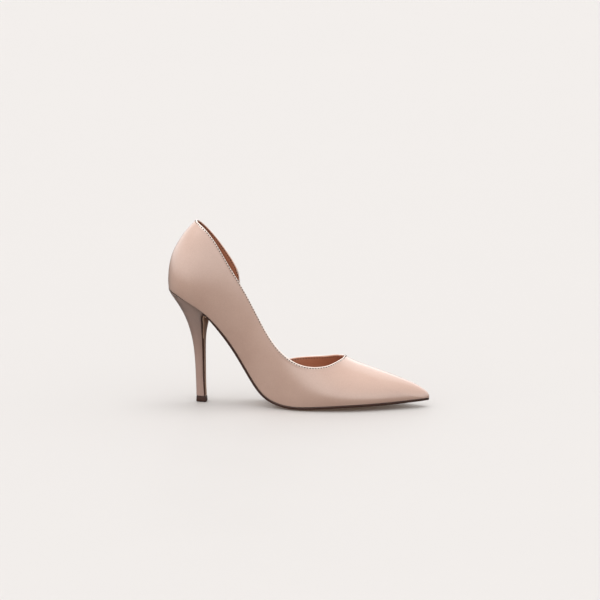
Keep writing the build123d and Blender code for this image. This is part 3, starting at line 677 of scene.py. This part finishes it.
def arch_wrap(material):
    """Folded leather strip round the insole's edge between the quarter and the vamp wing."""
    rows = []
    reach = ARCH_HALF + WRAP_END
    for x in np.linspace(ARCH_MIDDLE - reach, ARCH_MIDDLE + reach, 45):
        hidden = beyond_arch(x, 1.2)
        half = float(feather_width(x, 1)) - 1.4 * hidden
        profile = [(half - 4.0, 0.1), (half - 0.9, 0.0), (half - 0.25, 0.35), (half - 0.02, 1.0),
                   (half, 2.4), (half, 4.2), (half - 0.05, 5.8), (half - 0.45, 6.9), (half - 1.2, 7.5),
                   (half - 2.2, WRAP_TOP), (half - 3.0, 7.3), (half - 3.6, 6.4)]
        highest = WRAP_TOP - 1.6 * hidden
        rows.append([bottom_point(x, y, min(level, highest)) for y, level in profile])
    obj = grid_object("arch_edge_wrap_leather", np.array(rows), material)
    weld(obj)
    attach(obj, "root")
    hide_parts("arch_edge_wrap")
    return obj


heel_back = curve([(5, -5.4), (20, -5.8), (40, -6.8), (55, -8.5), (66, -10.9), (75, -13.7), (83, -17.1),
                   (90, -21.1), (96, -25.1), (101, -28.6), (106, -31.2)])
heel_front = curve([(5, 2.4), (20, 1.5), (40, 1.1), (60, 1.0), (72, 1.2), (82, 1.8), (106, 2.6)])
heel_half = curve([(5, 4.5), (20, 4.7), (40, 5.4), (55, 6.9), (66, 9.8), (75, 13.6), (83, 17.7),
                   (90, 21.0), (96, 23.2), (101, 24.2), (106, 24.4)])
flap_half = curve([(5, 4.1), (30, 4.6), (50, 5.6), (62, 8.0), (72, 12.0), (79, 15.8), (84, 18.6),
                   (90, 21.4)])
sole_thick = curve([(10, 1.5), (16, 1.9), (24, 2.15), (34, 2.2), (209, 2.2)])
flap_face = curve([(5, 3.6), (20, 3.0), (40, 2.75), (60, 2.65), (65, 2.95), (69, 3.5), (72, 4.0), (75, 4.3)])
# The sole's fold at the heel: outer point, inner point and half width at each step
FOLD_STEPS = [((8.6, 82.35), (8.2, 80.55), 23.1), ((7.4, 83.15), (7.0, 81.5), 22.8),
              ((6.2, 83.8), (6.0, 82.15), 22.4), ((5.0, 84.15), (5.3, 82.3), 21.9),
              ((4.0, 84.1), (4.85, 82.0), 21.2), ((3.1, 83.5), (4.6, 81.3), 20.3),
              ((2.4, 82.3), (4.5, 80.2), 19.3), ((1.95, 80.6), (4.5, 78.9), 18.1),
              ((1.6, 78.4), (4.45, 77.2), 16.6)]


PAINT, NARROW_PAINT = 5, 3     # rows of faces with edge paint, fewer at the top of the flap
FLAP_TOP_Z = 62.0
SOLE_TOE_X = 209.55


def sole_path():
    """Steps along the sole: upper point, lower point, half width on each side, middle and crown."""
    path = []
    toe_steps = [SOLE_TOE_X - d for d in (0.0, 0.12, 0.5, 1.1, 2.0, 3.2, 4.8, 7.0)]
    for x in toe_steps + list(np.arange(200, 9, -2.5)):
        upper = (x, float(bottom_height(x, -0.05)))
        lower = (x, float(bottom_height(x, -float(sole_thick(x)))))
        path.append((upper, lower, float(feather_width(x, -1, 0.2)), float(feather_width(x, 1, 0.2)),
                     float(centre_line(x)), BOTTOM_CROWN))
    for upper, lower, half in FOLD_STEPS:
        path.append((upper, lower, half, half, 0.0, BOTTOM_CROWN * 0.6))
    for z in list(np.arange(75, 8, -3.0)) + [6.6, 5.7]:
        half = float(flap_half(z)) + 0.1
        path.append(((float(heel_front(z)) + 0.05, z), (float(flap_face(z)), z), half, half, 0.0, 0.0))
    return path


def outsole(material, edge_paint_and_seat_shade):
    """Thin sole from the toe to the heel, turned down over the heel breast."""
    rows = []
    across = np.linspace(-1, 1, 17)
    for (xh, zh), (xl, zl), outer, inner, middle, crown in sole_path():
        row = []

        def put(y, part, drop=0.0):
            x = xh + (xl - xh) * part
            z = zh + (zl - zh) * part + crown * y * y + drop
            row.append((x, y, z))

        left, right = middle - outer, middle + inner
        tuck = min(0.45, outer * 0.4)
        put(left + tuck, 0.0)
        put(left + 0.05, 0.05)
        put(left, 0.3)
        put(left, 0.6)
        put(left + 0.1, 0.9)
        for k in across:
            y = middle + (k * (outer - tuck) if k < 0 else k * (inner - tuck))
            put(y, 1.0)
        put(right - 0.1, 0.9)
        put(right, 0.6)
        put(right, 0.3)
        put(right - 0.05, 0.05)
        put(right - tuck, 0.0)
        rows.append(row)
    columns = len(rows[0])
    obj = grid_object("outsole_leather", np.array(rows), material, closed_columns=True)
    obj.data.materials.append(edge_paint_and_seat_shade)
    path = sole_path()
    for polygon in obj.data.polygons:
        row, column = divmod(polygon.index, columns)
        x, z = path[row][1]
        deep = NARROW_PAINT if x < FAN_X and z > FLAP_TOP_Z else PAINT
        if column < deep or column >= columns - deep - 1:
            polygon.material_index = 1
    weld(obj, 0.03)
    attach(obj, "root")
    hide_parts("outsole")
    return obj


# ---- heel ------------------------------------------------------------------------------------
# Close under the seat the front of the heel reaches forward over the fold of the sole
HEEL_LIP = [(78.0, 1.6), (80.6, 1.95), (82.3, 2.4), (83.5, 3.2), (84.05, 4.3), (84.25, 5.6), (107.0, 5.8)]
COVER_RANGE = (60.0, 107.0)    # the cover's top edge lies between these heights
COVER_GAP = 0.12               # between the cover and its neighbours above and below
COVER_ROWS = 64
# Rows at the top of the heel cover that are darkened: painted shade in the gap under the upper's bottom edge.
SEAT_SHADE_ROWS = 5


def heel_ring(z, inset=0.0):
    """Points of the D-shaped heel outline at one height, from one breast edge round to the other."""
    back, front, half = float(heel_back(z)) + inset, float(heel_front(z)), float(heel_half(z)) - inset
    if z > HEEL_LIP[0][0]:
        front = max(front, float(np.interp(z, [p[0] for p in HEEL_LIP], [p[1] for p in HEEL_LIP])))
    fullness = 0.80 + 0.10 * min(1.0, max(0.0, (z - 60) / 35))
    length = front - back
    arc = bezier([(front, half * 0.94), (front - 0.42 * length, half * 1.08), (back, half * fullness),
                  (back, 0)], 25)
    return np.vstack([arc, arc[::-1][1:] * (1, -1)])


def heel_cover(material, edge_paint_and_seat_shade):
    """Leather drawn over the heel, up to the seat and round both breast edges."""
    columns = len(heel_ring(COVER_RANGE[0]))
    low, high = np.full(columns, COVER_RANGE[0]), np.full(columns, COVER_RANGE[1])
    for _ in range(HALVINGS):
        tops = (low + high) / 2
        for j in range(columns):
            x, y = heel_ring(tops[j])[j]
            seat = float(bottom_line(x)) + BOTTOM_CROWN * y * y - COVER_GAP
            if tops[j] >= seat:
                high[j] = tops[j]
            else:
                low[j] = tops[j]
    rows = []
    bottom = TIP_HEIGHT + COVER_GAP
    # Each step is a height, a part of the way up (with no inset), or a distance below the top edge
    steps = [(bottom, 0.3), (bottom + 0.12, 0.1), (bottom + 0.35, 0.0)]
    for part in np.linspace(0.01, 0.985, COVER_ROWS):
        steps.append((part, None))
    for below, inset in ((1.5, 0.0), (0.95, 0.0), (0.9, 0.05), (0.4, 0.08), (0.0, 0.25)):
        steps.append((-below, inset))
    for value, inset in steps:
        row = []
        for j in range(columns):
            if inset is None:
                z = bottom + (tops[j] - bottom) * value
            elif value > 0:
                z = value
            else:
                z = tops[j] + value * (0.35 + 0.65 * min(1.0, max(0.0, -heel_ring(tops[j])[j][0] / 20)))
            x, y = heel_ring(z, inset or 0.0)[j]
            row.append((x, y, z))
        first, last = row[0], row[-1]
        row = [(first[0] + 0.05, first[1] - 1.4, first[2])] + row + [(last[0] + 0.05, last[1] + 1.4, last[2])]
        rows.append(row)
    rows.append([(x, y * 0.9, z - 0.2) for x, y, z in rows[-1]])
    # The top rows take the dark edge material as painted shade under the upper, thickest at the back and
    # thinning forward.
    painted = len(rows) - SEAT_SHADE_ROWS
    obj = grid_object("heel_cover_leather", np.array(rows), material)
    obj.data.materials.append(edge_paint_and_seat_shade)
    for polygon in obj.data.polygons:
        if polygon.index // (columns + 1) >= painted:
            polygon.material_index = 1
    weld(obj)
    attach(obj, "root")
    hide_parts("heel_cover")
    return obj


def heel_tip(material):
    """Hard top piece under the heel, with rounded edges."""
    rows = []
    for z, grow in ((0.0, -0.35), (0.12, -0.05), (0.45, 0.22), (1.6, 0.2), (3.4, 0.1), (4.7, 0.0),
                    (5.15, -0.1), (TIP_HEIGHT, -0.35)):
        back, front, half = -5.4 - grow, 3.9 + grow * 1.4, 4.3 + grow
        arc = bezier([(front, half * 0.94), (front - 3.6, half * 1.08), (back, half * 0.84), (back, 0)], 17)
        corner = np.array([(front, half * 0.80)])
        ring = np.vstack([corner, arc, arc[::-1][1:] * (1, -1), corner * (1, -1)])
        rows.append([(x, y, z) for x, y in ring])
    around = len(rows[0])
    total = len(rows) * around
    faces = grid_faces(len(rows), around, True)
    faces += [tuple(range(around))[::-1], tuple(range(total - around, total))]
    obj = add_object("heel_tip_top_piece", np.array(rows).reshape(-1, 3), faces, material)
    weld(obj, 0.01)
    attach(obj, "root")
    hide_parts("heel_tip")
    return obj


# ---- materials -------------------------------------------------------------------------------
class Nodes:
    """Small helper that wires up one procedural material."""

    def __init__(self, name):
        self.material = bpy.data.materials.new(name)
        self.material.use_nodes = True
        self.tree = self.material.node_tree
        self.shader = self.tree.nodes["Principled BSDF"]
        self.place = self.tree.nodes.new("ShaderNodeNewGeometry").outputs["Position"]

    def link(self, source, target):
        self.tree.links.new(source, target)

    def noise(self, scale, detail=4.0, roughness=0.55, stretch=None):
        node = self.tree.nodes.new("ShaderNodeTexNoise")
        node.inputs["Scale"].default_value = scale
        node.inputs["Detail"].default_value = detail
        node.inputs["Roughness"].default_value = roughness
        source = self.place
        if stretch:
            scaled = self.tree.nodes.new("ShaderNodeVectorMath")
            scaled.operation = "MULTIPLY"
            scaled.inputs[1].default_value = stretch
            self.link(source, scaled.inputs[0])
            source = scaled.outputs[0]
        self.link(source, node.inputs["Vector"])
        return node.outputs["Fac"]

    def cells(self, scale):
        node = self.tree.nodes.new("ShaderNodeTexVoronoi")
        node.inputs["Scale"].default_value = scale
        self.link(self.place, node.inputs["Vector"])
        return node.outputs["Distance"]

    def ramp(self, source, stops):
        node = self.tree.nodes.new("ShaderNodeValToRGB")
        ramp = node.color_ramp
        while len(ramp.elements) < len(stops):
            ramp.elements.new(0.5)
        for element, (place, color) in zip(ramp.elements, stops):
            element.position = place
            element.color = (*color, 1.0)
        self.link(source, node.inputs["Fac"])
        return node.outputs["Color"]

    def multiplied(self, factor, a, b):
        """One colour multiplied by another, as far as the factor says."""
        node = self.tree.nodes.new("ShaderNodeMix")
        node.data_type = "RGBA"
        node.blend_type = "MULTIPLY"
        node.inputs["Factor"].default_value = factor
        colors = [socket for socket in node.inputs if socket.type == "RGBA"]
        self.link(a, colors[0])
        self.link(b, colors[1])
        return next(socket for socket in node.outputs if socket.type == "RGBA")

    def scaled(self, source, low, high, in_low=0.0, in_high=1.0):
        node = self.tree.nodes.new("ShaderNodeMapRange")
        node.inputs["From Min"].default_value = in_low
        node.inputs["From Max"].default_value = in_high
        node.inputs["To Min"].default_value = low
        node.inputs["To Max"].default_value = high
        self.link(source, node.inputs["Value"])
        return node.outputs["Result"]

    def bump(self, layers):
        normal = None
        for source, distance, strength in layers:
            node = self.tree.nodes.new("ShaderNodeBump")
            node.inputs["Distance"].default_value = distance
            node.inputs["Strength"].default_value = strength
            self.link(source, node.inputs["Height"])
            if normal is not None:
                self.link(normal, node.inputs["Normal"])
            normal = node.outputs["Normal"]
        self.link(normal, self.shader.inputs["Normal"])

    def set(self, **values):
        names = {"base": "Base Color", "rough": "Roughness", "metal": "Metallic", "coat": "Coat Weight",
                 "coat_rough": "Coat Roughness", "coat_ior": "Coat IOR", "sheen": "Sheen Weight",
                 "sheen_rough": "Sheen Roughness"}
        for key, value in values.items():
            socket = self.shader.inputs[names[key]]
            if isinstance(value, bpy.types.NodeSocket):
                self.link(value, socket)
            else:
                socket.default_value = value


def leather(name, base, dark, light, rough, grain=0.5, coat=0.1, sheen=0.1, coat_ior=1.5):
    """Smooth dyed leather: uneven dye, fine pores and faint creases."""
    m = Nodes(name)
    tone = m.ramp(m.noise(28.0, 3.0, 0.5), [(0.3, dark), (0.5, base), (0.72, light)])
    speckle = m.ramp(m.noise(900.0, 5.0, 0.6), [(0.35, (0.93, 0.93, 0.93)), (0.65, (1.04, 1.04, 1.04))])
    color = m.multiplied(0.6, tone, speckle)
    m.set(base=color, rough=m.scaled(m.noise(60.0, 4.0), rough - 0.05, rough + 0.07, 0.3, 0.7),
          coat=coat, coat_rough=0.16, coat_ior=coat_ior, sheen=sheen, sheen_rough=0.5)
    pores = m.scaled(m.cells(1500.0), 0.0, 1.0, 0.0, 0.7)
    m.bump([(m.noise(45.0, 3.0), 0.0006, 0.10 * grain), (m.noise(1300.0, 6.0, 0.6), 0.00012, 0.5 * grain),
            (pores, 0.0001, 0.35 * grain)])
    return m.material


def plain(name, dark, light, rough, scale=300.0, bump=0.3, metal=0.0, stretch=None, fine=0.00015):
    """Board, foam, felt, plastic or steel, told apart by its grain."""
    m = Nodes(name)
    grain = m.noise(scale, 6.0, 0.6, stretch)
    m.set(base=m.ramp(grain, [(0.3, dark), (0.7, light)]),
          rough=m.scaled(grain, rough - 0.08, rough + 0.08, 0.3, 0.7), metal=metal)
    m.bump([(grain, fine, bump)])
    return m.material


# Linear colours: the middle, the darkest and the lightest of each leather, then its roughness
upper_leather = leather("nude_leather", (0.56, 0.375, 0.300), (0.535, 0.352, 0.28), (0.585, 0.398, 0.322),
                        0.36, coat=0.8, coat_ior=1.9)
# Much lighter copy of the upper's leather for the fold rows: a painted highlight along the folded top edge.
fold_painted_highlight_leather = leather("nude_leather_fold_painted_highlight", (0.82, 0.69, 0.61), (0.79, 0.66, 0.58), (0.85, 0.72, 0.64),
                       0.34, coat=0.9, coat_ior=1.9)
# Darker copy of the upper's leather for the heel cover: painted shade on the heel.
heel_painted_shade_leather = leather("nude_heel_leather_painted_shade", (0.455, 0.305, 0.255), (0.435, 0.29, 0.24), (0.475, 0.32, 0.27),
                       0.36, coat=0.8, coat_ior=1.9)
lining_leather = leather("tan_lining_leather", (0.40, 0.155, 0.080), (0.35, 0.13, 0.066), (0.45, 0.18, 0.095),
                         0.55, grain=0.8, coat=0.0)
sock_leather = leather("tan_sock_leather", (0.38, 0.15, 0.080), (0.33, 0.125, 0.066), (0.43, 0.175, 0.095),
                       0.5, grain=0.8, coat=0.0)
sole_leather = leather("brown_sole_leather", (0.56, 0.35, 0.235), (0.51, 0.31, 0.205), (0.61, 0.39, 0.265),
                       0.42, grain=1.0, coat=0.15)
thread = plain("edge_thread", (0.034, 0.014, 0.009), (0.065, 0.030, 0.020), 0.6, 1500.0, 0.5)
tip_plastic = plain("dark_top_piece_plastic", (0.034, 0.011, 0.006), (0.050, 0.017, 0.009), 0.5, 400.0, 0.2)
# Dark edge paint on the sides of the sole, also used as painted shade along the top of the heel cover.
edge_paint_and_seat_shade = plain("dark_sole_edge_paint_and_heel_seat_shade", (0.040, 0.014, 0.008), (0.058, 0.021, 0.012), 0.42, 500.0, 0.25)
pale_thread = plain("pale_thread", (0.62, 0.52, 0.45), (0.78, 0.68, 0.60), 0.5, 1500.0, 0.5)
stiffener = plain("non_woven_stiffener", (0.55, 0.50, 0.42), (0.70, 0.66, 0.58), 0.9, 900.0, 0.6)
insole_fibre = plain("cellulose_board", (0.28, 0.20, 0.13), (0.42, 0.32, 0.22), 0.9, 500.0, 0.5)
foam = plain("latex_foam", (0.62, 0.55, 0.44), (0.74, 0.68, 0.58), 0.9, 1200.0, 0.8)
felt = plain("grey_felt", (0.16, 0.14, 0.12), (0.28, 0.25, 0.22), 0.95, 1500.0, 0.9)
heel_plastic = plain("moulded_heel_plastic", (0.48, 0.42, 0.35), (0.54, 0.48, 0.41), 0.5, 200.0, 0.1)
steel = plain("spring_steel", (0.42, 0.42, 0.44), (0.56, 0.56, 0.58), 0.35, 600.0, 0.2, 1.0, (1.0, 6.0, 6.0))

inside = {"toe_puff": stiffener, "vamp_backer": stiffener, "heel_counter": stiffener,
          "insole_board": insole_fibre, "steel_shank": steel, "shank_rivets": steel,
          "bottom_filler": felt, "forepart_cushion": foam, "heel_pad": foam,
          "heel_core": heel_plastic, "heel_tube": steel, "heel_tip_pin": steel,
          "heel_screw": steel, "heel_nails": steel}
for node, material in inside.items():
    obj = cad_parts[node]
    if obj.material_slots:
        for slot in obj.material_slots:
            slot.material = material
    else:
        obj.data.materials.append(material)

# ---- build -----------------------------------------------------------------------------------
ribs, lining_split = upper_ribs()
upper_grid, upper_n = skin("vamp_and_outer_quarter_leather", ribs, upper_leather, fold_painted_highlight_leather,
                            "vamp_and_outer_quarter")
inner_grid, inner_n = skin("inner_quarter_leather", quarter_ribs(), upper_leather, fold_painted_highlight_leather,
                            "inner_quarter")
lining("vamp_lining_leather", upper_grid[lining_split:], upper_n[lining_split:], "vamp_lining",
       lining_leather)
rear = np.concatenate([upper_grid[:lining_split + 1][::-1], inner_grid[1:]])
rear_n = np.concatenate([upper_n[:lining_split + 1][::-1], inner_n[1:]])
lining("quarter_lining_leather", rear, rear_n, "quarter_lining", lining_leather)
lines = []
for grid, n in ((upper_grid, upper_n), (inner_grid, inner_n)):
    lines.append((grid[:, STITCH_ROW], n[:, STITCH_ROW]))
    lines.append((grid[:, TACK_ROW] - INSIDE_STITCH_DEPTH * n[:, TACK_ROW], -n[:, TACK_ROW]))
stitches(lines, thread)
corner_tack(inner_grid, inner_n, pale_thread)
pad("forepart_cushion_foam", 62.0, 186.0, "forepart_cushion", foam)
pad("heel_pad_foam", -27.4, 18.0, "heel_pad", foam)
sock(sock_leather)
arch_wrap(upper_leather)
outsole(sole_leather, edge_paint_and_seat_shade)
heel_cover(heel_painted_shade_leather, edge_paint_and_seat_shade)
heel_tip(tip_plastic)

# ---- camera, floor and light -----------------------------------------------------------------
VIEW_TURN, VIEW_TILT = math.radians(8.5), math.radians(10.0)
VIEW_DISTANCE = 6.0
AIM = Vector((0.0908, 0.0, 0.0968))
FIELD = 0.549             # width of what the camera sees at the shoe
SENSOR = 36.0
FLOOR_HALF = 9000
forward = Vector((-math.sin(VIEW_TURN) * math.cos(VIEW_TILT), math.cos(VIEW_TURN) * math.cos(VIEW_TILT),
                  -math.sin(VIEW_TILT)))
camera_data = bpy.data.cameras.new("camera")
camera = bpy.data.objects.new("camera", camera_data)
bpy.context.scene.collection.objects.link(camera)
camera.location = AIM - forward * VIEW_DISTANCE
camera.rotation_euler = forward.to_track_quat("-Z", "Y").to_euler()
camera_data.sensor_width = SENSOR
camera_data.lens = SENSOR * VIEW_DISTANCE / FIELD
camera_data.clip_end = 50.0
bpy.context.scene.camera = camera


def soft_sun(name, turn, height, spread, strength):
    """Broad light from a direction: turn is from the front towards the toe, height above level."""
    data = bpy.data.lights.new(name, "SUN")
    data.energy = strength
    data.angle = math.radians(spread)
    obj = bpy.data.objects.new(name, data)
    turn, height = math.radians(turn), math.radians(height)
    source = Vector((math.sin(turn) * math.cos(height), -math.cos(turn) * math.cos(height), math.sin(height)))
    obj.rotation_euler = (-source).to_track_quat("-Z", "Y").to_euler()
    bpy.context.scene.collection.objects.link(obj)
    return obj


def linked(light, name, objects):
    """Keeps a light to some of the objects."""
    group = bpy.data.collections.new(name)
    for obj in objects:
        group.objects.link(obj)
    light.light_linking.receiver_collection = group


floor_material = plain("pale_floor", (0.735, 0.715, 0.70), (0.755, 0.735, 0.72), 0.6, 3.0, 0.0)
floor_corners = [(FLOOR_HALF * a, FLOOR_HALF * b, 0) for a, b in ((-1, -1), (1, -1), (1, 1), (-1, 1))]
floor = add_object("floor", floor_corners, [(0, 1, 2, 3)], floor_material, smooth=False)
floor.visible_diffuse = False      # the world's pale lower half stands in for it
floor.visible_glossy = False
shoe = [obj for obj in bpy.context.scene.objects if obj.type == "MESH" and obj != floor]
linked(soft_sun("front_softbox", -35, 64, 40, 1.9), "lit_from_front", shoe)
linked(soft_sun("rear_softbox", 165, 40, 60, 0.35), "lit_from_behind", shoe)
linked(soft_sun("overhead_softbox", 150, 78, 35, 0.55), "lit_from_overhead", [floor])

world = bpy.data.worlds.new("pale_room")
world.use_nodes = True
tree = world.node_tree
place = tree.nodes.new("ShaderNodeTexCoord")
split = tree.nodes.new("ShaderNodeSeparateXYZ")
sky = tree.nodes.new("ShaderNodeValToRGB")
tree.links.new(place.outputs["Generated"], split.inputs[0])
height = tree.nodes.new("ShaderNodeMapRange")
height.inputs["From Min"].default_value = -1.0
tree.links.new(split.outputs["Z"], height.inputs["Value"])
tree.links.new(height.outputs["Result"], sky.inputs["Fac"])
# Brightness of the room from straight down to straight up: pale floor, a dark band up to the
# horizon, then white walls and a softer ceiling
SKY = [(0.0, (0.42, 0.40, 0.38)), (0.12, (0.20, 0.19, 0.18)), (0.24, (0.03, 0.025, 0.02)),
       (0.46, (0.03, 0.025, 0.02)), (0.53, (1.20, 1.17, 1.15)), (0.62, (1.45, 1.42, 1.40)),
       (0.80, (0.95, 0.93, 0.92)), (1.0, (0.80, 0.79, 0.78))]
while len(sky.color_ramp.elements) < len(SKY):
    sky.color_ramp.elements.new(0.5)
for element, (at, color) in zip(sky.color_ramp.elements, SKY):
    element.position = at
    element.color = (*color, 1.0)
tree.links.new(sky.outputs["Color"], tree.nodes["Background"].inputs["Color"])
tree.nodes["Background"].inputs["Strength"].default_value = 1.0
bpy.context.scene.world = world

bpy.context.scene.view_settings.view_transform = "Standard"
